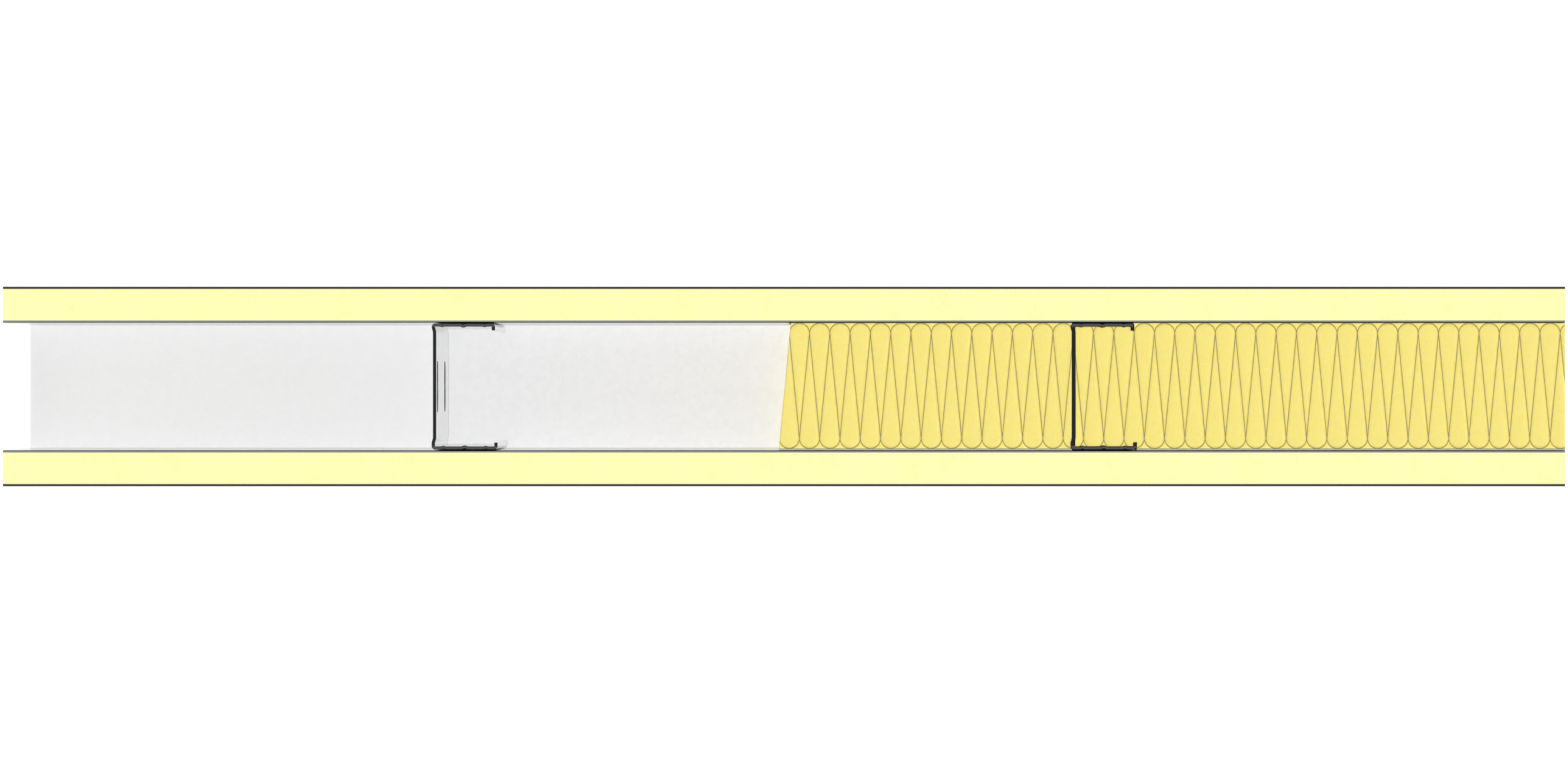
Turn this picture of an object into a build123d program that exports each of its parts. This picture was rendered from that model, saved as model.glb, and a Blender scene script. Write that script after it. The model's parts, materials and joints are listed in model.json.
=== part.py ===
from build123d import *
import os

os.makedirs("parts", exist_ok=True)

# Drywall partition cut off level above its floor track, in mm.
# X runs along the wall, Y through it, and Z up from the floor.

# The wall as a whole
wall_length = 1222.0
cut_height = 1000.0
cavity = 100.0

# Plasterboards
core_thickness = 24.6
liner_thickness = 1.7

# Floor track
track_gauge = 0.6
track_flange = 40.0

# Studs
first_stud = 335.4
stud_centres = 500.0
stud_gauge = 2.5
back_flange = 49.5
front_flange = 51.5
lip_depth = 5.5
inside_bend = 0.3

# Stiffening beads rolled into the flanges
bead_pitch = 16.6
middle_bead_width = 4.4
middle_bead_depth = 0.8
side_bead_width = 2.8
side_bead_depth = 0.5
bead_radius = 0.3

# Joggle that sets the web back between its two corner ribs
web_setback = 1.0
back_rib = 0.3
back_slope = 3.8
front_rib = 2.8
front_slope = 3.6

# Service cut-outs punched through the webs
cutout_width = 40.0
cutout_length = 100.0
first_cutout = 300.0
cutout_pitch = 600.0

# Insulation batts
batt_cut = 276.2
cut_slant = 9.3
batt_clearance = 0.3

# Places that follow from the sizes
left_end = -wall_length / 2
right_end = wall_length / 2
stud_depth = cavity - 2 * track_gauge
stud_1_x = left_end + first_stud
stud_2_x = stud_1_x + stud_centres


# Plasterboards: paper liners on both faces of a gypsum core
def board_layer(near_face, thickness):
    with BuildPart() as layer:
        with BuildSketch(Plane.XY):
            with Locations((0, near_face)):
                Rectangle(wall_length, thickness, align=(Align.CENTER, Align.MIN))
        extrude(amount=cut_height)
    return layer.part


core_face = cavity / 2 + liner_thickness
outer_face = core_face + core_thickness

back_inner_liner = board_layer(cavity / 2, liner_thickness)
back_inner_liner.label = "back_inner_liner"
export_step(back_inner_liner, "parts/back_inner_liner.step")

back_core = board_layer(core_face, core_thickness)
back_core.label = "back_core"
export_step(back_core, "parts/back_core.step")

back_outer_liner = board_layer(outer_face, liner_thickness)
back_outer_liner.label = "back_outer_liner"
export_step(back_outer_liner, "parts/back_outer_liner.step")

front_inner_liner = board_layer(-core_face, liner_thickness)
front_inner_liner.label = "front_inner_liner"
export_step(front_inner_liner, "parts/front_inner_liner.step")

front_core = board_layer(-outer_face, core_thickness)
front_core.label = "front_core"
export_step(front_core, "parts/front_core.step")

front_outer_liner = board_layer(-outer_face - liner_thickness, liner_thickness)
front_outer_liner.label = "front_outer_liner"
export_step(front_outer_liner, "parts/front_outer_liner.step")


# Floor track: folded channel whose flanges hold the feet of both boards
with BuildPart() as floor_track:
    with BuildSketch(Plane.YZ.offset(left_end)) as track_section:
        Rectangle(cavity, track_flange, align=(Align.CENTER, Align.MIN))
        fillet(track_section.vertices().group_by(Axis.Y)[0], radius=track_gauge)
        with Locations((0, track_gauge)):
            Rectangle(
                cavity - 2 * track_gauge,
                track_flange,
                align=(Align.CENTER, Align.MIN),
                mode=Mode.SUBTRACT,
            )
    extrude(amount=wall_length)
floor_track.part.label = "floor_track"
export_step(floor_track.part, "parts/floor_track.step")


# Studs: one roll-formed strip, drawn along its outside and given its gauge
def flange_line(side, reach):
    """Outside line of one flange from its lip to its web corner."""
    level = side * stud_depth / 2
    points = [(reach, level - side * lip_depth), (reach, level)]
    radii = [corner_radius]
    beads = (
        (bead_pitch, side_bead_width, side_bead_depth),
        (0, middle_bead_width, middle_bead_depth),
        (-bead_pitch, side_bead_width, side_bead_depth),
    )
    for offset_x, width, depth in beads:
        x = reach / 2 + offset_x
        points += [
            (x + width / 2, level),
            (x, level - side * depth),
            (x - width / 2, level),
        ]
        radii += [shoulder_radius, bead_radius, shoulder_radius]
    points.append((0, level))
    radii.append(corner_radius)
    return points, radii


corner_radius = inside_bend + stud_gauge
shoulder_radius = stud_gauge + bead_radius
rib_end = stud_depth / 2 - corner_radius
back_points, back_radii = flange_line(1, back_flange)
front_points, front_radii = flange_line(-1, front_flange)
web_points = [
    (0, rib_end - back_rib),
    (web_setback, rib_end - back_rib - back_slope),
    (web_setback, front_rib + front_slope - rib_end),
    (0, front_rib - rib_end),
]
strip_points = back_points + web_points + front_points[::-1]
strip_radii = back_radii + [shoulder_radius] * len(web_points) + front_radii[::-1]


with BuildSketch() as stud_section:
    with BuildLine():
        FilletPolyline(*strip_points, radius=strip_radii)
        offset(amount=stud_gauge, side=Side.LEFT)
    make_face()

last_cutout = cut_height - cutout_length / 2
cutout_count = int((last_cutout - first_cutout) // cutout_pitch) + 1


def stud(web_corner):
    with BuildPart() as roll_formed:
        with BuildSketch(Plane((web_corner, 0, track_gauge))):
            add(stud_section.sketch)
        extrude(amount=cut_height - track_gauge)
        with BuildSketch(Plane.YZ.offset(web_corner)):
            for number in range(cutout_count):
                with Locations((0, first_cutout + number * cutout_pitch)):
                    SlotOverall(cutout_length, cutout_width, rotation=90)
        extrude(amount=web_setback + stud_gauge, mode=Mode.SUBTRACT)
    return roll_formed.part


stud_1 = stud(stud_1_x)
stud_1.label = "stud_1"
export_step(stud_1, "parts/stud_1.step")

stud_2 = stud(stud_2_x)
stud_2.label = "stud_2"
export_step(stud_2, "parts/stud_2.step")


# Insulation: batts friction-fitted between the track's flanges
batt_foot = Plane.XY.offset(track_gauge)
half_batt = stud_depth / 2
cut_x = stud_1_x + batt_cut
web_outside = stud_2_x + web_setback
web_inside = web_outside + stud_gauge

# The wool lies this close round the stud's section
with BuildSketch() as stud_space:
    add(stud_section.sketch)
    offset(amount=batt_clearance)

with BuildPart() as middle_batt:
    with BuildSketch(batt_foot):
        with BuildLine():
            Polyline(
                (cut_x + cut_slant / 2, half_batt),
                (cut_x - cut_slant / 2, -half_batt),
                (web_outside, -half_batt),
                (web_outside, half_batt),
                close=True,
            )
        make_face()
        with Locations((stud_2_x, 0)):
            add(stud_space.sketch, mode=Mode.SUBTRACT)
    extrude(amount=cut_height - track_gauge)
middle_batt.part.label = "middle_batt"
export_step(middle_batt.part, "parts/middle_batt.step")

# The other batt is pushed into the stud and closes round its flanges
with BuildPart() as end_batt:
    with BuildSketch(batt_foot):
        with Locations((web_inside, 0)):
            Rectangle(
                right_end - web_inside, 2 * half_batt, align=(Align.MIN, Align.CENTER)
            )
        for side, reach in ((1, back_flange), (-1, front_flange)):
            with Locations((stud_2_x, side * (half_batt - stud_gauge / 2))):
                Rectangle(
                    reach, stud_gauge, align=(Align.MIN, Align.CENTER), mode=Mode.SUBTRACT
                )
        with Locations((stud_2_x, 0)):
            add(stud_space.sketch, mode=Mode.SUBTRACT)
    extrude(amount=cut_height - track_gauge)
end_batt.part.label = "end_batt"
export_step(end_batt.part, "parts/end_batt.step")
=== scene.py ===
"""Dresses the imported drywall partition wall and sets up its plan-section picture.

Lengths are in metres in the part's own frame: X along the wall, Y through it, Z up. The wall is cut
off level, and the camera looks straight down on that cut.
"""

from __future__ import annotations

import json
import logging
import math
from dataclasses import dataclass, field
from enum import Enum
from typing import Any, Union

import bmesh
import bpy
import numpy as np
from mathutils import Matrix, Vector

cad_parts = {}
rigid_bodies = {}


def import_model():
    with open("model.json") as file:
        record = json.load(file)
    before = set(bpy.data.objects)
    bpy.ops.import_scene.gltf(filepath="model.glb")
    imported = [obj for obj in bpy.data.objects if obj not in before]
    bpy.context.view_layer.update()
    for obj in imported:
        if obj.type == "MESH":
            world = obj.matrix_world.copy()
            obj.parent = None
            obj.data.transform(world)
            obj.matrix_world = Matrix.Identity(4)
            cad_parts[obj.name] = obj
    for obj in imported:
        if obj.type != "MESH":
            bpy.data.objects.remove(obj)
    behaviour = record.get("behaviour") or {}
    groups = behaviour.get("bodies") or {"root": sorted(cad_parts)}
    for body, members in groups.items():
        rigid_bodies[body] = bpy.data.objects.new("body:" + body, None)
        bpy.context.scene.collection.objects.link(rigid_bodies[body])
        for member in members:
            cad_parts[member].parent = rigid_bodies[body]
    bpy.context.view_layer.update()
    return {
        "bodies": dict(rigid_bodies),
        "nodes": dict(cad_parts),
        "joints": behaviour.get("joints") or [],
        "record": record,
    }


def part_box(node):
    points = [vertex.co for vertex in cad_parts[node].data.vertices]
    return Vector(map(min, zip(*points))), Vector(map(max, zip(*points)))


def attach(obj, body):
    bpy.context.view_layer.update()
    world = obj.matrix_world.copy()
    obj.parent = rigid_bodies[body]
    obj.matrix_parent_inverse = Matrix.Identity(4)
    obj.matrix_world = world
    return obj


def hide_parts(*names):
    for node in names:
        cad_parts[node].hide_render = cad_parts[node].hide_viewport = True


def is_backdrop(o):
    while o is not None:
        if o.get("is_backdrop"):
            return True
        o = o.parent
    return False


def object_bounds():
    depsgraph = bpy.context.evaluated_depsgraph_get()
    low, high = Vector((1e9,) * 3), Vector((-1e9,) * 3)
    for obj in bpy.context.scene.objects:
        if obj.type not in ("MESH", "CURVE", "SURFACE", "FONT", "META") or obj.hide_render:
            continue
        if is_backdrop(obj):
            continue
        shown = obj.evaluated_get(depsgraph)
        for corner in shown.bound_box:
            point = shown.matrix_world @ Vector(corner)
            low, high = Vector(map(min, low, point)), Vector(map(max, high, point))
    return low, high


LOG = logging.getLogger("partition")
BODY = "root"

Number = Union["Value", float]
Colour = tuple[float, float, float, float]


def tint(red: int, green: int, blue: int) -> Colour:
    """Turns a colour written as on a screen into the linear one that shaders take.

    Args:
        red: Red from 0 to 255.
        green: Green from 0 to 255.
        blue: Blue from 0 to 255.

    Returns:
        The linear colour with an alpha of 1.
    """
    parts = np.array([red, green, blue]) / 255
    low, high = parts / 12.92, ((parts + 0.055) / 1.055) ** 2.4
    linear = np.where(parts <= 0.04045, low, high)
    return (float(linear[0]), float(linear[1]), float(linear[2]), 1.0)


class Board(Enum):
    """The two boards, by the side of the wall they stand on."""

    FRONT = -1
    BACK = 1


class Value:
    """A number that varies over a surface: a socket whose Python operators add Math nodes."""

    def __init__(self, nodes: "NodeTree", socket: bpy.types.NodeSocket) -> None:
        """Keeps the socket and the nodes that it belongs to."""
        self.nodes = nodes
        self.socket = socket

    def __add__(self, other: Number) -> "Value":
        """Sum."""
        return self.nodes.math("ADD", self, other)

    def __radd__(self, other: Number) -> "Value":
        """Sum with a plain number on the left."""
        return self.nodes.math("ADD", other, self)

    def __sub__(self, other: Number) -> "Value":
        """Difference."""
        return self.nodes.math("SUBTRACT", self, other)

    def __rsub__(self, other: Number) -> "Value":
        """Difference from a plain number."""
        return self.nodes.math("SUBTRACT", other, self)

    def __mul__(self, other: Number) -> "Value":
        """Product."""
        return self.nodes.math("MULTIPLY", self, other)

    def __rmul__(self, other: Number) -> "Value":
        """Product with a plain number on the left."""
        return self.nodes.math("MULTIPLY", other, self)

    def __truediv__(self, other: Number) -> "Value":
        """Quotient."""
        return self.nodes.math("DIVIDE", self, other)

    def __abs__(self) -> "Value":
        """Size without its sign."""
        return self.nodes.math("ABSOLUTE", self)

    def clipped(self, low: Number, high: Number) -> "Value":
        """The number held between two limits."""
        return self.nodes.math("MINIMUM", self.nodes.math("MAXIMUM", self, low), high)

    def ramp(self, start: float, end: float) -> "Value":
        """Goes in a straight line from 0 at one level to 1 at another."""
        return ((self - start) / (end - start)).clipped(0.0, 1.0)

    def repeated(self, pitch: float) -> "Value":
        """Distance to the nearest multiple of a pitch, never negative."""
        return abs(self.nodes.math("FRACT", self / pitch + 0.5) - 0.5) * pitch

    def beyond(self, start: float, end: float) -> "Value":
        """Goes smoothly from 0 at one level to 1 at another.

        Args:
            start: The level at which the result is 0.
            end: The level at which the result is 1, above or below the start.

        Returns:
            The smooth step.
        """
        low, high, ends = (start, end, (0.0, 1.0)) if start < end else (end, start, (1.0, 0.0))
        made = self.nodes.node(
            "ShaderNodeMapRange",
            {"interpolation_type": "SMOOTHSTEP"},
            {0: self, 1: low, 2: high, 3: ends[0], 4: ends[1]},
        )
        return Value(self.nodes, made.outputs[0])


class NodeTree:
    """The nodes of a material or of the world."""

    def __init__(self, owner: bpy.types.Material | bpy.types.World) -> None:
        """Empties the owner's nodes.

        Args:
            owner: The material or the world.
        """
        owner.use_nodes = True
        self.tree = owner.node_tree
        self.tree.nodes.clear()

    def node(
        self,
        kind: str,
        settings: dict[str, Any] | None = None,
        inputs: dict[int | str, Any] | None = None,
    ) -> bpy.types.Node:
        """Adds a node.

        Args:
            kind: Blender's type name of the node.
            settings: Properties to set first, such as a Math node's operation.
            inputs: Values or links, by the socket's number or name.

        Returns:
            The node.
        """
        made = self.tree.nodes.new(kind)
        for key, setting in (settings or {}).items():
            setattr(made, key, setting)
        for key, given in (inputs or {}).items():
            self.feed(made.inputs[key], given)
        return made

    def feed(self, socket: bpy.types.NodeSocket, given: Any) -> None:
        """Links something into an input, or sets the input.

        Args:
            socket: The input.
            given: A socket or a Value to link, or a plain value to set.
        """
        if isinstance(given, Value):
            given = given.socket
        if isinstance(given, bpy.types.NodeSocket):
            self.tree.links.new(given, socket)
        else:
            socket.default_value = given

    def math(self, operation: str, *given: Number) -> Value:
        """Adds a Math node and returns its result."""
        made = self.node("ShaderNodeMath", {"operation": operation}, dict(enumerate(given)))
        return Value(self, made.outputs[0])

    def ray(self, *kinds: str) -> Value:
        """1 for rays of these kinds and 0 for others.

        Args:
            kinds: Outputs of the Light Path node.

        Returns:
            The largest of the outputs.
        """
        outputs = self.node("ShaderNodeLightPath").outputs
        seen = Value(self, outputs[kinds[0]])
        for kind in kinds[1:]:
            seen = self.math("MAXIMUM", seen, Value(self, outputs[kind]))
        return seen


class Shading(NodeTree):
    """One material with its Principled shader, and the nodes that feed it."""

    def __init__(self, name: str) -> None:
        """Starts an empty material.

        Args:
            name: The finish, in plain words.
        """
        self.material = bpy.data.materials.new(name)
        super().__init__(self.material)
        self.surface = self.node("ShaderNodeBsdfPrincipled")
        self.output = self.node("ShaderNodeOutputMaterial", inputs={0: self.surface.outputs[0]})
        self._place: tuple[Value, Value, Value] | None = None

    def hypot(self, one: Number, other: Number) -> Value:
        """Length of the vector with these two parts."""
        return self.math("SQRT", one * one + other * other)

    def place(self) -> tuple[Value, Value, Value]:
        """The point of the surface.

        Returns:
            Its X, Y and Z in the wall's frame.
        """
        if self._place is None:
            there = self.node("ShaderNodeTexCoord").outputs["Object"]
            parts = self.node("ShaderNodeSeparateXYZ", inputs={0: there}).outputs
            self._place = (Value(self, parts[0]), Value(self, parts[1]), Value(self, parts[2]))
        return self._place

    def facing(self) -> tuple[Value, Value, Value]:
        """How far the surface faces along each axis.

        Returns:
            Its normal's parts along X, Y and Z, without their signs.
        """
        normal = self.node("ShaderNodeNewGeometry").outputs["Normal"]
        parts = self.node("ShaderNodeSeparateXYZ", inputs={0: normal}).outputs
        return (abs(Value(self, parts[0])), abs(Value(self, parts[1])), abs(Value(self, parts[2])))

    def stretched(self, scale: tuple[float, float, float]) -> bpy.types.NodeSocket:
        """Object coordinates multiplied along each axis."""
        there = self.node("ShaderNodeTexCoord").outputs["Object"]
        return self.node("ShaderNodeMapping", inputs={0: there, "Scale": scale}).outputs[0]

    def noise(
        self, per_metre: float, detail: float = 3.0, grain: tuple[float, float, float] = (1, 1, 1)
    ) -> Value:
        """Soft noise around 0.5.

        Args:
            per_metre: How many lumps there are in a metre.
            detail: Octaves of finer lumps.
            grain: How much denser the lumps are along each axis.

        Returns:
            The noise.
        """
        made = self.node(
            "ShaderNodeTexNoise",
            {"noise_dimensions": "3D"},
            {"Vector": self.stretched(grain), "Scale": per_metre, "Detail": detail},
        )
        return Value(self, made.outputs[0])

    def cells(self, per_metre: float, output: str = "Distance") -> Value:
        """Pattern of cells round scattered seeds.

        Args:
            per_metre: How many cells there are in a metre.
            output: Distance for the distance to the seed, or Color for the cell's own value.

        Returns:
            The pattern.
        """
        made = self.node(
            "ShaderNodeTexVoronoi", None, {"Vector": self.stretched((1, 1, 1)), "Scale": per_metre}
        )
        return Value(self, made.outputs[output])

    def mixed(self, share: Number, one: Any, other: Any) -> bpy.types.NodeSocket:
        """Mixes two colours.

        Args:
            share: 0 for the first colour and 1 for the other.
            one: The first colour or its socket.
            other: The other colour or its socket.

        Returns:
            The mixed colour's socket.
        """
        made = self.node(
            "ShaderNodeMix",
            {"data_type": "RGBA", "clamp_factor": True},
            {0: share, 6: one, 7: other},
        )
        return made.outputs[2]

    def bumped(self, height: Value, depth: float, strength: float = 1.0) -> None:
        """Roughens the surface's normal.

        Args:
            height: The relief, from 0 to about 1.
            depth: What a height of 1 is worth, in metres.
            strength: How much of the relief shows.
        """
        bump = self.node(
            "ShaderNodeBump", None, {"Height": height, "Distance": depth, "Strength": strength}
        )
        self.feed(self.surface.inputs["Normal"], bump.outputs[0])

    def finish(
        self, colour: Any, roughness: Number, metallic: Number = 0.0, gloss: float = 0.5
    ) -> bpy.types.Material:
        """Sets the shader's main inputs.

        Args:
            colour: The base colour or its socket.
            roughness: The roughness, plain or varying.
            metallic: How metallic the surface is, plain or varying.
            gloss: The shader's specular level, 0.5 for common surfaces.

        Returns:
            The finished material.
        """
        given = {"Base Color": colour, "Roughness": roughness, "Metallic": metallic}
        for name, value in {**given, "Specular IOR Level": gloss}.items():
            self.feed(self.surface.inputs[name], value)
        return self.material


@dataclass(frozen=True)
class GypsumFinish:
    """Set gypsum: pale yellow, chalky, with fine pores where it is cut, darkened by painted shade.
    """

    body: Colour = tint(255, 255, 184)
    shade: Colour = tint(253, 252, 179)
    pore_shade: Colour = tint(214, 208, 138)

    def material(self) -> bpy.types.Material:
        """Makes the material.

        Returns:
            The gypsum: soft mottling, sparse pores with painted shade in them, and a chalky bump.
        """
        shading = Shading("gypsum core")
        mottle = shading.noise(45, 5)
        # painted shade: the pores are tinted darker, as well as bumped in
        shaded_pores = shading.cells(420).beyond(0.13, 0.06)
        ground = shading.mixed(mottle.beyond(0.45, 0.7), self.body, self.shade)
        speckled = shading.mixed(shaded_pores * 0.55, ground, self.pore_shade)
        grain = shading.noise(900, 4)
        shading.bumped(grain - shaded_pores * 0.8, 0.0003, 0.5)
        return shading.finish(speckled, grain.beyond(0.2, 0.8) * 0.1 + 0.88)


@dataclass(frozen=True)
class LinerFinish:
    """Board paper: grey on its cut edge, darkest along both faces, and pale on those faces."""

    bare_face: float
    thickness: float = 0.0017
    bare_line: tuple[float, float] = (0.53, 0.43)
    core_line: tuple[float, float] = (0.87, 0.93)
    edge_fill: Colour = tint(76, 76, 73)
    edge_line: Colour = tint(16, 16, 15)
    face: Colour = tint(225, 224, 218)
    face_shade: Colour = tint(219, 217, 210)
    fleck: Colour = tint(188, 184, 172)
    roughness: float = 0.75

    def material(self, name: str) -> bpy.types.Material:
        """Makes the material.

        Args:
            name: The material's name.

        Returns:
            The paper: pale pulp with fine fibres and scattered darker flecks.
        """
        shading = Shading(name)
        depth = abs(shading.place()[1] - self.bare_face) / self.thickness
        line = depth.beyond(*self.bare_line) + depth.beyond(*self.core_line)
        edge = shading.mixed(line, self.edge_fill, self.edge_line)
        fibres = shading.noise(330, 6, (1.0, 1.0, 0.3))
        crossed = shading.noise(300, 6, (0.3, 1.0, 1.0))
        clouds = shading.noise(6, 2)
        pulp = fibres * 0.42 + crossed * 0.42 + clouds * 0.16
        paper = shading.mixed(pulp.beyond(0.4, 0.6), self.face, self.face_shade)
        flecks = shading.noise(700, 2, (1.0, 1.0, 0.4)).beyond(0.7, 0.78)
        paper = shading.mixed(flecks * 0.6, paper, self.fleck)
        cut = shading.facing()[1].beyond(0.6, 0.4)
        shading.bumped(fibres + crossed, 0.00015, 0.5)
        rough = (fibres * 0.1 + self.roughness) * (1 - cut) + cut * 0.85
        return shading.finish(shading.mixed(cut, paper, edge), rough, gloss=0.1)


@dataclass(frozen=True)
class StudSection:
    """A C stud's strip seen end on, from the outside corner of its web."""

    corner: float
    gauge: float = 0.0025
    bend: float = 0.0028
    half_depth: float = 0.0494
    back_flange: float = 0.0495
    front_flange: float = 0.0515
    lip: float = 0.0055
    setback: float = 0.001
    back_joggle: tuple[float, float] = (0.0463, 0.0425)
    front_joggle: tuple[float, float] = (-0.0438, -0.0402)
    middle_bead: tuple[float, float] = (0.0044, 0.0008)
    side_bead: tuple[float, float] = (0.0028, 0.0005)
    bead_pitch: float = 0.0166

    def drawn(self, shading: Shading) -> Value:
        """Distance from the surface's own place to the strip's nearest edge.

        The depths under the outside line of the web or lip, set back between the joggles, and
        under the flange's, less its beads, join round the bend as a circle does. The distance
        is the least of that depth, of what the gauge leaves beyond it, and to the lip's end.

        Args:
            shading: The material that it is drawn in.

        Returns:
            The distance in metres, negative past the edge.
        """
        x, y, _ = shading.place()
        along = x - self.corner
        reach = self.back_flange + y.beyond(0.001, -0.001) * (self.front_flange - self.back_flange)
        joggles = y.ramp(*self.back_joggle) * y.ramp(*self.front_joggle)
        from_middle = abs(along - reach * 0.5)
        dips: Number = 0.0
        for off, (width, dip) in ((0.0, self.middle_bead), (self.bead_pitch, self.side_bead)):
            dips = abs(from_middle - off).ramp(width / 2, 0.0) * dip + dips
        lip = reach - along
        side = shading.math("MINIMUM", along - joggles * self.setback, lip)
        flange = self.half_depth - abs(y) - dips
        round_side = shading.math("MAXIMUM", self.bend - side, 0.0)
        round_flange = shading.math("MAXIMUM", self.bend - flange, 0.0)
        depth = self.bend - shading.hypot(round_side, round_flange)
        end = shading.math("MAXIMUM", abs(y) - (self.half_depth - self.lip), lip - self.gauge)
        return shading.math("MINIMUM", shading.math("MINIMUM", depth, self.gauge - depth), end)


@dataclass(frozen=True)
class StudFinish:
    """Galvanised strip: dark where it is cut across, bright zinc with spangles on its sides."""

    section: StudSection
    zinc: Colour = tint(238, 239, 241)
    zinc_shade: Colour = tint(222, 225, 228)
    cut_edge: Colour = tint(8, 8, 9)
    cut_flange: Colour = tint(80, 80, 80)
    cut_web: Colour = tint(12, 12, 13)
    edge_width: tuple[float, float] = (0.0006, 0.0004)
    web_end: tuple[float, float] = (0.0472, 0.0462)
    cut_level: tuple[float, float] = (0.9994, 0.9998)
    metallic: float = 0.5

    def material(self, name: str) -> bpy.types.Material:
        """Makes the material.

        Args:
            name: The material's name.

        Returns:
            The zinc: its cut end is rough and dark, darkest along its edges, and its sides reflect.
        """
        shading = Shading(name)
        spangle = shading.cells(110, "Color")
        streaks = shading.noise(120, 3, (1.0, 1.0, 0.05))
        pattern = (spangle * 0.6 + streaks * 0.4).beyond(0.2, 0.8)
        sides = shading.mixed(pattern, self.zinc, self.zinc_shade)
        _, y, z = shading.place()
        cut = shading.facing()[2].beyond(0.7, 0.95) * z.beyond(*self.cut_level)
        edge = self.section.drawn(shading).beyond(*self.edge_width)
        middle = shading.mixed(abs(y).beyond(*self.web_end), self.cut_flange, self.cut_web)
        colour = shading.mixed(cut, sides, shading.mixed(edge, middle, self.cut_edge))
        rough = (spangle * 0.05 + streaks * 0.03 + 0.02) * (1 - cut) + cut * 0.85
        return shading.finish(colour, rough, (1 - cut) * self.metallic, 0.25)


@dataclass(frozen=True)
class TrackFinish:
    """Dull pale zinc on the floor track, with painted shade that makes it darker towards the wall's
    left end, where more light comes in through the open end.
    """

    zinc: Colour = tint(239, 239, 240)
    shade: Colour = tint(235, 235, 236)
    # painted shade: a darker zinc for the left end, to offset the extra light that comes into the
    # cavity through its open end
    painted_end_shade: Colour = tint(226, 226, 226)
    painted_end_shade_from: tuple[float, float] = (-0.24, -0.3)

    def material(self) -> bpy.types.Material:
        """Makes the material.

        Returns:
            The zinc: pale, with faint spangles and rolling streaks.
        """
        shading = Shading("zinc track")
        spangle = shading.cells(240, "Color")
        streaks = shading.noise(60, 3, (0.05, 1.0, 1.0))
        pattern = (spangle * 0.5 + streaks * 0.5).beyond(0.2, 0.8)
        colour = shading.mixed(pattern, self.zinc, self.shade)
        # painted shade: half of the darker zinc is mixed in from the left end
        left = shading.place()[0].beyond(*self.painted_end_shade_from)
        colour = shading.mixed(left * 0.5, colour, self.painted_end_shade)
        return shading.finish(colour, spangle * 0.08 + 0.8)


@dataclass(frozen=True)
class PleatPattern:
    """Pleats seen end on: lobes that are round at one board and taper to a fold at the other."""

    pitch: float = 0.015873
    first_fold: float = 0.00411
    back_springing: float = 0.0416
    front_springing: float = -0.0405

    @property
    def radius(self) -> float:
        """Radius of a lobe's round end."""
        return self.pitch / 2

    def half_width(self, y: np.ndarray) -> np.ndarray:
        """Half the width, along the wall, of the lobes that are round at the back.

        It grows in a straight line from 0 at the front springing to the radius at the back one.
        Past the back springing it falls as the circle of that radius does, and past the front
        one it grows by what the circle of the lobes between them has lost.

        Args:
            y: Places through the wall.

        Returns:
            The half widths, never quite 0 nor the whole radius.
        """
        radius = self.radius
        straight = (y - self.front_springing) / (self.back_springing - self.front_springing)
        past_back = np.clip(y - self.back_springing, 0, radius)
        past_front = np.clip(self.front_springing - y, 0, radius)
        width = np.clip(straight, 0, 1) * radius
        width = width - (radius - np.sqrt(radius**2 - past_back**2))
        width = width + (radius - np.sqrt(radius**2 - past_front**2))
        return np.clip(width, radius * 0.02, radius * 0.98)

    def distance(self, x: np.ndarray, y: np.ndarray) -> np.ndarray:
        """Distance to the nearest fold line, negative in the lobes that are round at the front.

        With a the distance from the centre line of the nearest lobe that is round at the back,
        and w the straight half width there, it is w less the length of (a, how far y is past
        the back springing), plus what the front circle adds in the same way.

        Args:
            x: Places along the wall.
            y: Places through the wall.

        Returns:
            The distances in metres.
        """
        radius = self.radius
        phase = (x - self.first_fold) / self.pitch
        across = radius - np.abs(phase - np.round(phase)) * self.pitch
        straight = (y - self.front_springing) / (self.back_springing - self.front_springing)
        past_back = np.maximum(y - self.back_springing, 0)
        past_front = np.maximum(self.front_springing - y, 0)
        other = radius - across
        inside = np.clip(straight, 0, 1) * radius - np.hypot(across, past_back)
        return inside + np.hypot(other, past_front) - other

    def drawn(self, shading: Shading) -> Value:
        """The same distance as shader maths, at the surface's own place.

        Args:
            shading: The material that it is drawn in.

        Returns:
            The distance in metres.
        """
        x, y, _ = shading.place()
        span = self.back_springing - self.front_springing
        across = self.radius - (x - self.first_fold).repeated(self.pitch)
        past_back = shading.math("MAXIMUM", y - self.back_springing, 0.0)
        past_front = shading.math("MAXIMUM", self.front_springing - y, 0.0)
        straight = ((y - self.front_springing) / span).clipped(0.0, 1.0) * self.radius
        other = self.radius - across
        inside = straight - shading.hypot(across, past_back)
        return inside + shading.hypot(other, past_front) - other


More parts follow.
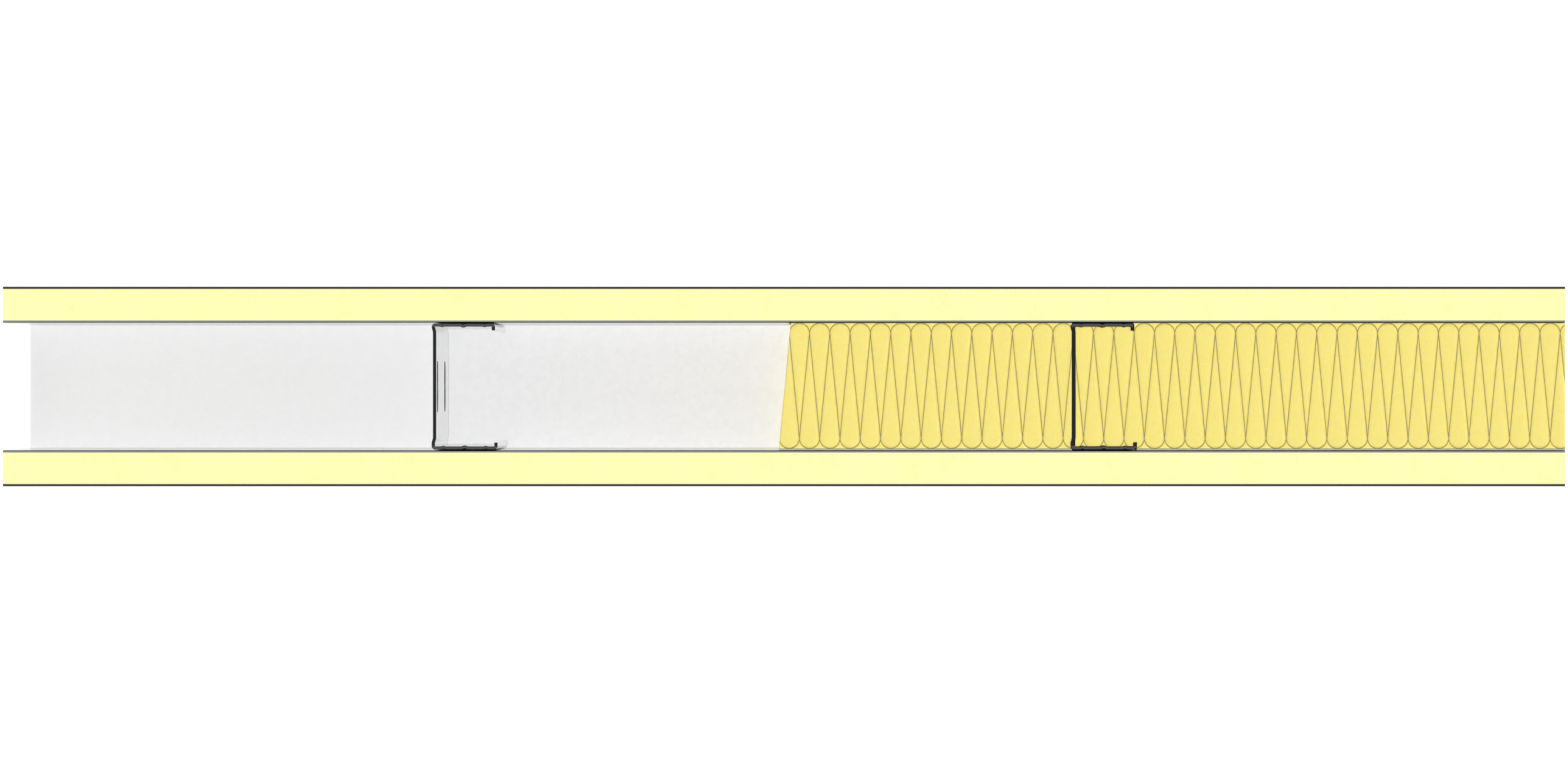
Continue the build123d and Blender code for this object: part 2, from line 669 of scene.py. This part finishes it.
@dataclass(frozen=True)
class WoolFinish:
    """Yellow mineral wool: painted crease shade in its folds, the same dark lines along its edges
    at the boards, and layered and fibrous where it is cut, with painted shade in the hollows there.
    """

    pattern: PleatPattern = field(default_factory=PleatPattern)
    fold_shade_width: tuple[float, float] = (0.00046, 0.00014)
    line_share: float = 0.92
    back_edge: tuple[float, float] = (0.0493, 0.0497)
    front_seam: float = -0.0487
    seam_width: tuple[float, float] = (0.00035, 0.0001)
    front_gap: tuple[float, float] = (-0.0488, -0.0491)
    drawn_from: tuple[float, float] = (0.9955, 0.9975)
    fill: Colour = tint(248, 231, 129)
    fill_shade: Colour = tint(245, 227, 124)
    # painted shade: the dark colour drawn in the creases of the folds, and along the edge and seam
    # lines
    fold: Colour = tint(128, 125, 106)
    layer: Colour = tint(236, 212, 108)
    hollow_shade: Colour = tint(214, 188, 88)
    backing: Colour = tint(186, 187, 193)

    def material(self) -> bpy.types.Material:
        """Makes the material.

        Returns:
            The wool: fold lines and edge lines on top, upright layers on the cut sides.
        """
        shading = Shading("mineral wool")
        _, y, z = shading.place()
        fine = shading.noise(520, 6, (1.0, 0.45, 1.0))
        crossed = shading.noise(480, 6, (0.4, 1.0, 1.0))
        tufts = shading.noise(60, 4)
        fibres = (fine + crossed) * 0.5
        pattern = (fibres * 0.7 + tufts * 0.3).beyond(0.36, 0.64)
        wool = shading.mixed(pattern, self.fill, self.fill_shade)
        off = abs(self.pattern.drawn(shading)) + (fine - 0.5) * 0.0002
        edge = y.beyond(*self.back_edge)
        seam = abs(y - self.front_seam).beyond(*self.seam_width)
        gap = y.beyond(*self.front_gap)
        # painted shade along each fold line, where the crease falls into shade
        fold_shade = off.beyond(*self.fold_shade_width) * (1 - gap)
        lines = shading.math("MAXIMUM", fold_shade, shading.math("MAXIMUM", edge, seam))
        ground = shading.mixed(gap, wool, self.backing)
        top = shading.mixed(lines * self.line_share, ground, self.fold)
        layers = shading.noise(300, 8, (1.0, 1.0, 0.22))
        sides = shading.mixed(layers.beyond(0.35, 0.7) * 0.7, wool, self.layer)
        # painted shade: the hollows of the cut sides, which the bump also sinks, are tinted darker
        shaded_hollows = shading.noise(260, 8, (1.0, 1.0, 0.5)).beyond(0.56, 0.8)
        sides = shading.mixed(shaded_hollows * 0.55, sides, self.hollow_shade)
        upward = shading.facing()[2].beyond(0.25, 0.6) * z.beyond(*self.drawn_from)
        shading.bumped(fibres + (layers - shaded_hollows * 0.6) * (1 - upward), 0.0007, 0.6)
        return shading.finish(shading.mixed(upward, sides, top), 0.92)


def felt(u: np.ndarray, v: np.ndarray, cell: tuple[float, float], seed: int) -> np.ndarray:
    """Smooth lumps between -1 and 1 over two parameters.

    Random heights stand on a lattice of the cell's size, and a point takes the mean of the four
    round it, weighted by 3t^2 - 2t^3 of its place between them along each parameter.

    Args:
        u: The first parameter, in metres.
        v: The second parameter, in metres.
        cell: The lattice's spacing along each.
        seed: Which lumps.

    Returns:
        The heights, as an array of the parameters' shape.
    """
    size = (257, 263)
    table = np.random.default_rng(seed).uniform(-1, 1, size)
    a, b = u / cell[0], v / cell[1]
    i, j = np.floor(a).astype(int), np.floor(b).astype(int)
    s, t = a - i, b - j
    s, t = s * s * (3 - 2 * s), t * t * (3 - 2 * t)

    def at(di: int, dj: int) -> np.ndarray:
        """The lattice's height at one corner of each point's cell."""
        return table[(i + di) % size[0], (j + dj) % size[1]]

    near = at(0, 0) * (1 - s) + at(1, 0) * s
    far = at(0, 1) * (1 - s) + at(1, 1) * s
    return near * (1 - t) + far * t


@dataclass(frozen=True)
class EndLine:
    """Where a batt ends: a straight line through the wall."""

    middle: float
    slope: float = 0.0

    def at(self, y: np.ndarray) -> np.ndarray:
        """Places along the wall for these places through it."""
        return self.middle + self.slope * y


@dataclass
class PleatedBatt:
    """A batt of pleated wool, built over its plain solid and trimmed by it."""

    node: str
    left: EndLine
    right: EndLine
    seed: int
    frayed_left: bool = False
    frayed_right: bool = False
    pattern: PleatPattern = field(default_factory=PleatPattern)
    half_depth: float = 0.0502
    top: float = 0.9998
    bottom: float = -0.005
    fold_depth: float = 0.0011
    fold_softness: float = 0.0007
    crown: float = 0.0003
    crown_softness: float = 0.0025
    lumps: float = 0.00015
    fray: float = 0.0009
    fray_rise: float = 60.0
    swell: float = 0.0005
    levels: int = 72
    round_rows: int = 12
    straight_rows: int = 42
    shares: tuple[float, ...] = (0.3, 0.6, 0.82, 0.94)
    sharp_edge: float = 55.0

    def rows(self) -> np.ndarray:
        """Places through the wall, at which the grid has its rows.

        Past each springing they lie at the radius times the sine of even steps of angle, so that
        they are close together at the round ends. Between the springings they are evenly spaced.

        Returns:
            The places, in rising order.
        """
        low, high = self.pattern.front_springing, self.pattern.back_springing
        arc = self.pattern.radius * np.sin(np.linspace(0, math.pi / 2, self.round_rows))
        middle = np.linspace(low, high, self.straight_rows)
        ends = np.array([-self.half_depth, self.half_depth])
        return np.unique(np.round(np.concatenate([low - arc, middle, high + arc, ends]), 7))

    def columns(self, y: np.ndarray) -> np.ndarray:
        """Places along the wall of each grid line, which follow the folds.

        A line at share s of a lobe is at the lobe's centre plus s times its half width at that
        row, and the lobes between use the radius less that half width.

        Args:
            y: The rows.

        Returns:
            An array of grid lines by rows, held between the batt's two ends.
        """
        inner = np.array([-s for s in self.shares[::-1]] + [0.0] + list(self.shares))
        wide = np.concatenate([[-1.0], inner, [1.0]])
        half = self.pattern.half_width(y)
        radius = self.pattern.radius
        back_lobe = wide[:, None] * half
        front_lobe = radius + inner[:, None] * (radius - half)
        cell = np.concatenate([back_lobe, front_lobe])
        left, right = self.left.at(y), self.right.at(y)
        low, high = left.min(), right.max()
        first = math.floor((low - self.pattern.first_fold) / self.pattern.pitch) - 1
        last = math.ceil((high - self.pattern.first_fold) / self.pattern.pitch) + 1
        centres = self.pattern.first_fold + radius + self.pattern.pitch * np.arange(first, last)
        lines = (centres[:, None, None] + cell).reshape(-1, len(y))
        lines = np.clip(lines, left, right)
        inside = ((lines > left) & (lines < right)).any(axis=1)
        used = inside.copy()
        used[1:] |= inside[:-1]
        used[:-1] |= inside[1:]
        return lines[used]

    def surface(self, x: np.ndarray, y: np.ndarray) -> np.ndarray:
        """Height of the top: a low crown on each lobe that falls steeply into the folds.

        It is the top less the fold's depth times exp(-(d / softness)^2), with d the distance to
        the fold line, less the crown times exp(-d / its softness), with fine felt on it.

        Args:
            x: Places along the wall.
            y: Places through the wall.

        Returns:
            The heights.
        """
        off = np.abs(self.pattern.distance(x, y))
        fold = self.fold_depth * np.exp(-((off / self.fold_softness) ** 2))
        crown = self.crown * np.exp(-off / self.crown_softness)
        lumps = felt(x, y, (0.0031, 0.0043), self.seed) * self.lumps
        return self.top - fold - crown + lumps

    def frayed(self, y: np.ndarray, z: np.ndarray, seed: int) -> np.ndarray:
        """How far the cut wool lies back from its end: upright layers with finer tufts.

        Args:
            y: Places through the wall.
            z: Heights.
            seed: Which layers and tufts.

        Returns:
            The distances, from about 0 to the whole fray.
        """
        broad = felt(y, z, (0.0045, 0.06), seed)
        fine = felt(y, z, (0.0016, 0.02), seed + 1)
        return self.fray * (0.5 + 0.32 * broad + 0.18 * fine)

    def mesh(self) -> bpy.types.Mesh:
        """Builds the closed block: the pleated top, two ends as grids, plain sides and foot.

        An end goes in even steps from the top's rim to the foot's. Where it is frayed each point
        lies back by the fray there, times the smaller of 1 and its share of the way down times
        fray_rise.

        Returns:
            The mesh.
        """
        y = self.rows()
        x = self.columns(y)
        count, depth = x.shape
        across = np.broadcast_to(y, x.shape)
        top = np.stack([x, across, self.surface(x, across)], axis=-1)
        foot = np.stack([x, across, np.full_like(x, self.bottom)], axis=-1)
        share = np.linspace(0, 1, self.levels + 1)[1:-1, None, None]
        ends = []
        for line, sign, torn in ((0, 1, self.frayed_left), (-1, -1, self.frayed_right)):
            wall = top[line] * (1 - share) + foot[line] * share
            if torn:
                back = self.frayed(wall[..., 1], wall[..., 2], self.seed + 10 + line)
                wall[..., 0] += sign * back * np.minimum(1, share[..., 0] * self.fray_rise)
            ends.append(wall)
        points = [top.reshape(-1, 3), ends[0].reshape(-1, 3), ends[1].reshape(-1, 3)]
        rim = [foot[:, 0], foot[:, -1], foot[0, 1:-1], foot[-1, 1:-1]]
        points += rim
        starts = np.cumsum([0] + [len(p) for p in points])
        grid = np.arange(count * depth).reshape(count, depth)
        walls = [
            starts[1 + n] + np.arange((self.levels - 1) * depth).reshape(-1, depth)
            for n in (0, 1)
        ]
        front_foot = starts[3] + np.arange(count)
        back_foot = starts[4] + np.arange(count)
        left_foot = np.concatenate(
            [[front_foot[0]], starts[5] + np.arange(depth - 2), [back_foot[0]]]
        )
        right_foot = np.concatenate(
            [[front_foot[-1]], starts[6] + np.arange(depth - 2), [back_foot[-1]]]
        )
        left = np.vstack([grid[0], walls[0], left_foot])
        right = np.vstack([grid[-1], walls[1], right_foot])
        faces = quads(grid) + quads(left) + quads(right[:, ::-1])
        faces += self.side(grid[:, 0], front_foot, left[:, 0], right[:, 0], False)
        faces += self.side(grid[:, -1], back_foot, left[:, -1], right[:, -1], True)
        around = [*front_foot, *right_foot[1:-1], *back_foot[::-1], *left_foot[-2:0:-1]]
        faces.append(around[::-1])
        made = bpy.data.meshes.new(self.node + "_pleats")
        made.from_pydata(np.concatenate(points).tolist(), [], faces)
        merge(made)
        return made

    @staticmethod
    def side(
        top: np.ndarray, foot: np.ndarray, left: np.ndarray, right: np.ndarray, turned: bool
    ) -> list[list[int]]:
        """Faces of one plain side: a strip between two grid lines each, from top to foot.

        Args:
            top: The side's vertices along the top.
            foot: The same along the foot.
            left: Vertices down the left-hand corner, which the first strip takes in.
            right: Vertices down the right-hand corner, which the last strip takes in.
            turned: Whether the side is seen from the back.

        Returns:
            The faces, with their corners in order.
        """
        strips = [[foot[i], foot[i + 1], top[i + 1], top[i]] for i in range(len(top) - 1)]
        strips[0] = [foot[0], foot[1], top[1], *left[:-1]]
        strips[-1] = [foot[-2], *right[::-1], top[-2]]
        return [[int(v) for v in (s[::-1] if turned else s)] for s in strips]

    def build(self, frame: dict[str, Any], finish: bpy.types.Material) -> bpy.types.Object:
        """Makes the piece, trims it by its plain solid and puts it in that solid's place.

        Args:
            finish: The wool's material.

        Returns:
            The finished piece.
        """
        piece = bpy.data.objects.new(self.node.replace("_batt", "_pleated_wool"), self.mesh())
        bpy.context.scene.collection.objects.link(piece)
        trim(piece, frame["nodes"][self.node], self.swell)
        piece.data.materials.clear()
        piece.data.materials.append(finish)
        piece.data.shade_smooth()
        piece.data.set_sharp_from_angle(angle=math.radians(self.sharp_edge))
        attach(piece, BODY)
        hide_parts(self.node)
        return piece


def quads(grid: np.ndarray) -> list[list[int]]:
    """Faces of a grid of vertex numbers, one for each cell, in the order of its rows."""
    cells = np.stack([grid[:-1, :-1], grid[1:, :-1], grid[1:, 1:], grid[:-1, 1:]], axis=-1)
    return cells.reshape(-1, 4).tolist()


def merge(mesh: bpy.types.Mesh, within: float = 1e-6) -> None:
    """Joins vertices that lie in one place and points the faces outwards.

    Args:
        mesh: The mesh, which is changed.
        within: How close two vertices have to be.
    """
    work = bmesh.new()
    work.from_mesh(mesh)
    bmesh.ops.remove_doubles(work, verts=work.verts, dist=within)
    bmesh.ops.recalc_face_normals(work, faces=work.faces)
    work.to_mesh(mesh)
    work.free()


def trim(piece: bpy.types.Object, solid: bpy.types.Object, swell: float) -> None:
    """Keeps only what of a piece lies inside a CAD solid whose sides lean out a little.

    Args:
        piece: The piece, whose mesh is replaced.
        solid: The CAD node, of which a merged copy does the cutting.
        swell: How far the copy's sides that face through the wall lean out at its top.
    """
    outline = solid.data.copy()
    merge(outline)
    points = np.empty(len(outline.vertices) * 3, np.float32)
    outline.vertices.foreach_get("co", points)
    _, y, z = points.reshape(-1, 3).T
    leaning = (np.abs(y) > np.abs(y).max() - swell / 10) & (z > z.mean())
    y[leaning] += np.sign(y[leaning]) * swell
    outline.vertices.foreach_set("co", points)
    cutter = bpy.data.objects.new("outline", outline)
    bpy.context.scene.collection.objects.link(cutter)
    cut = piece.modifiers.new("trim", "BOOLEAN")
    cut.operation, cut.solver, cut.object = "INTERSECT", "MANIFOLD", cutter
    seen = piece.evaluated_get(bpy.context.evaluated_depsgraph_get())
    made = bpy.data.meshes.new_from_object(seen)
    piece.modifiers.clear()
    piece.data = made
    bpy.data.objects.remove(cutter)
    bpy.data.meshes.remove(outline)


def dress(node: bpy.types.Object, finish: bpy.types.Material) -> None:
    """Gives a CAD node its finish in every slot it has.

    Args:
        node: The node.
        finish: The material.
    """
    if not node.data.materials:
        node.data.materials.append(finish)
    for number in range(len(node.data.materials)):
        node.data.materials[number] = finish


@dataclass
class Plasterboards:
    """The two boards: their cores and their paper liners."""

    inner_face: float = 0.05
    liner: float = 0.0017
    core: float = 0.0246

    def build(self, frame: dict[str, Any]) -> None:
        """Dresses both boards.
        """
        gypsum = GypsumFinish().material()
        for board in Board:
            name = board.name.lower()
            dress(frame["nodes"][f"{name}_core"], gypsum)
            inner = LinerFinish(
                bare_face=board.value * self.inner_face,
                edge_fill=tint(180, 180, 180),
                edge_line=tint(26, 26, 27),
                roughness=0.03,
            )
            dress(frame["nodes"][f"{name}_inner_liner"], inner.material(f"{name} inner paper"))
            outer = LinerFinish(
                bare_face=board.value * (self.inner_face + self.core + self.liner * 2)
            )
            dress(frame["nodes"][f"{name}_outer_liner"], outer.material(f"{name} outer paper"))
            LOG.info("%s board dressed", name)


@dataclass
class SteelFrame:
    """The two studs and the floor track."""

    studs: tuple[str, ...] = ("stud_1", "stud_2")
    track: str = "floor_track"

    def build(self, frame: dict[str, Any]) -> None:
        """Dresses the steel.
        """
        for name in self.studs:
            low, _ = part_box(name)
            finish = StudFinish(StudSection(corner=low[0]))
            dress(frame["nodes"][name], finish.material(f"galvanised {name.replace('_', ' ')}"))
        dress(frame["nodes"][self.track], TrackFinish().material())
        LOG.info("studs and track dressed")


@dataclass
class Insulation:
    """The pleated batts on both sides of the second stud."""

    cut_middle: float = 0.0006
    cut_slant: float = 0.0093
    cut_depth: float = 0.0988
    overrun: float = 0.004
    inset: float = 0.0001

    def build(self, frame: dict[str, Any]) -> None:
        """Makes both batts.
        """
        wool = WoolFinish().material()
        _, middle_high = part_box("middle_batt")
        end_low, end_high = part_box("end_batt")
        middle = PleatedBatt(
            node="middle_batt",
            left=EndLine(self.cut_middle + self.inset, self.cut_slant / self.cut_depth),
            right=EndLine(middle_high[0] + self.overrun),
            seed=3,
            frayed_left=True,
        )
        end = PleatedBatt(
            node="end_batt",
            left=EndLine(end_low[0] - self.overrun),
            right=EndLine(end_high[0] - self.inset),
            seed=5,
            frayed_right=True,
        )
        for batt in (middle, end):
            piece = batt.build(frame, wool)
            LOG.info("%s has %d faces", piece.name, len(piece.data.polygons))


@dataclass
class Studio:
    """The floor, the lamps, the white surround and the camera straight above the cut."""

    photo_width: int = 2576
    pixels_per_metre: float = 2100.0
    lens: float = 800.0
    sensor: float = 36.0
    cut_level: float = 1.0
    floor_reach: float = 40.0
    floor_colour: Colour = tint(252, 252, 252)
    overhead: float = 0.8
    overhead_spread: float = 0.05
    faces: float = 0.44
    face_spread: float = 12.0
    face_tilt: float = 84.0
    ends: tuple[float, float] = (0.4, 0.06)
    end_spread: float = 4.0
    end_tilt: float = 88.0
    sky: float = 0.1

    def build(self) -> None:
        """Sets up everything round the object."""
        self.lay_floor()
        self.hang_lamps()
        self.paint_surround()
        self.place_camera()
        bpy.context.scene.view_settings.view_transform = "Standard"
        LOG.info("studio ready")

    def lay_floor(self) -> None:
        """Lays the pale floor, which looks white to the camera but keeps its shadows."""
        corners = np.array([[-1, -1, 0], [1, -1, 0], [1, 1, 0], [-1, 1, 0]]) * self.floor_reach
        mesh = bpy.data.meshes.new("studio_floor")
        mesh.from_pydata(corners.tolist(), [], [[0, 1, 2, 3]])
        floor = bpy.data.objects.new("studio_floor", mesh)
        bpy.context.scene.collection.objects.link(floor)
        shading = Shading("studio floor")
        shading.finish(self.floor_colour, 1.0)
        seen = shading.ray("Is Camera Ray", "Is Glossy Ray") * 0.5
        white = shading.node("ShaderNodeEmission", None, {0: (1, 1, 1, 1), 1: 1.0}).outputs[0]
        shaders = {0: seen, 1: shading.surface.outputs[0], 2: white}
        mix = shading.node("ShaderNodeMixShader", None, shaders)
        shading.feed(shading.output.inputs[0], mix.outputs[0])
        mesh.materials.append(shading.material)
        floor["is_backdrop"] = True

    def lamp(self, name: str, level: float, spread: float, turn: tuple[float, float]) -> None:
        """Hangs one far lamp.

        Args:
            name: The lamp's name.
            level: Its light on a surface that faces it, where 1 shows white as white.
            spread: How wide the lamp looks from the object, in degrees.
            turn: Its tilt from straight overhead and its bearing, in degrees.
        """
        data = bpy.data.lights.new(name, "SUN")
        data.energy = level * math.pi
        data.angle = math.radians(spread)
        made = bpy.data.objects.new(name, data)
        made.rotation_euler = (math.radians(turn[0]), 0, math.radians(turn[1]))
        bpy.context.scene.collection.objects.link(made)

    def hang_lamps(self) -> None:
        """Hangs a lamp overhead, to reach down the cavity, and low ones square to each side."""
        self.lamp("overhead", self.overhead, self.overhead_spread, (0, 0))
        for number, end in enumerate(self.ends):
            bearing = 180 * number
            self.lamp(f"face_{number}", self.faces, self.face_spread, (self.face_tilt, bearing))
            self.lamp(f"end_{number}", end, self.end_spread, (self.end_tilt, 90 + bearing))

    def paint_surround(self) -> None:
        """Makes the world white to the camera and in reflections, and a soft sky otherwise."""
        world = bpy.data.worlds.new("surround")
        bpy.context.scene.world = world
        nodes = NodeTree(world)
        sky, white = (
            nodes.node("ShaderNodeBackground", None, {0: (1, 1, 1, 1), 1: strength}).outputs[0]
            for strength in (self.sky, 1.0)
        )
        seen = nodes.ray("Is Camera Ray", "Is Glossy Ray", "Is Transmission Ray")
        mix = nodes.node("ShaderNodeMixShader", None, {0: seen, 1: sky, 2: white})
        nodes.node("ShaderNodeOutputWorld", None, {0: mix.outputs[0]})

    def place_camera(self) -> None:
        """Places the camera above the middle, so far off that the cut fills the picture."""
        width = self.photo_width / self.pixels_per_metre
        height = width * self.lens / self.sensor
        data = bpy.data.cameras.new("camera")
        data.lens, data.sensor_width = self.lens, self.sensor
        data.clip_start, data.clip_end = 1.0, height * 2
        camera = bpy.data.objects.new("camera", data)
        camera.location = (0, 0, self.cut_level + height)
        bpy.context.scene.collection.objects.link(camera)
        bpy.context.scene.camera = camera


def corners() -> list[list[float]]:
    """The lowest and highest corners of the whole object, as plain lists."""
    return [list(map(float, corner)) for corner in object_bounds()]


def main() -> None:
    """Builds the wall's sub-assemblies in order, and then the studio."""
    logging.basicConfig(level=logging.INFO)
    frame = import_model()
    Plasterboards().build(frame)
    SteelFrame().build(frame)
    Insulation().build(frame)
    Studio().build()


if __name__ == "__main__":
    main()
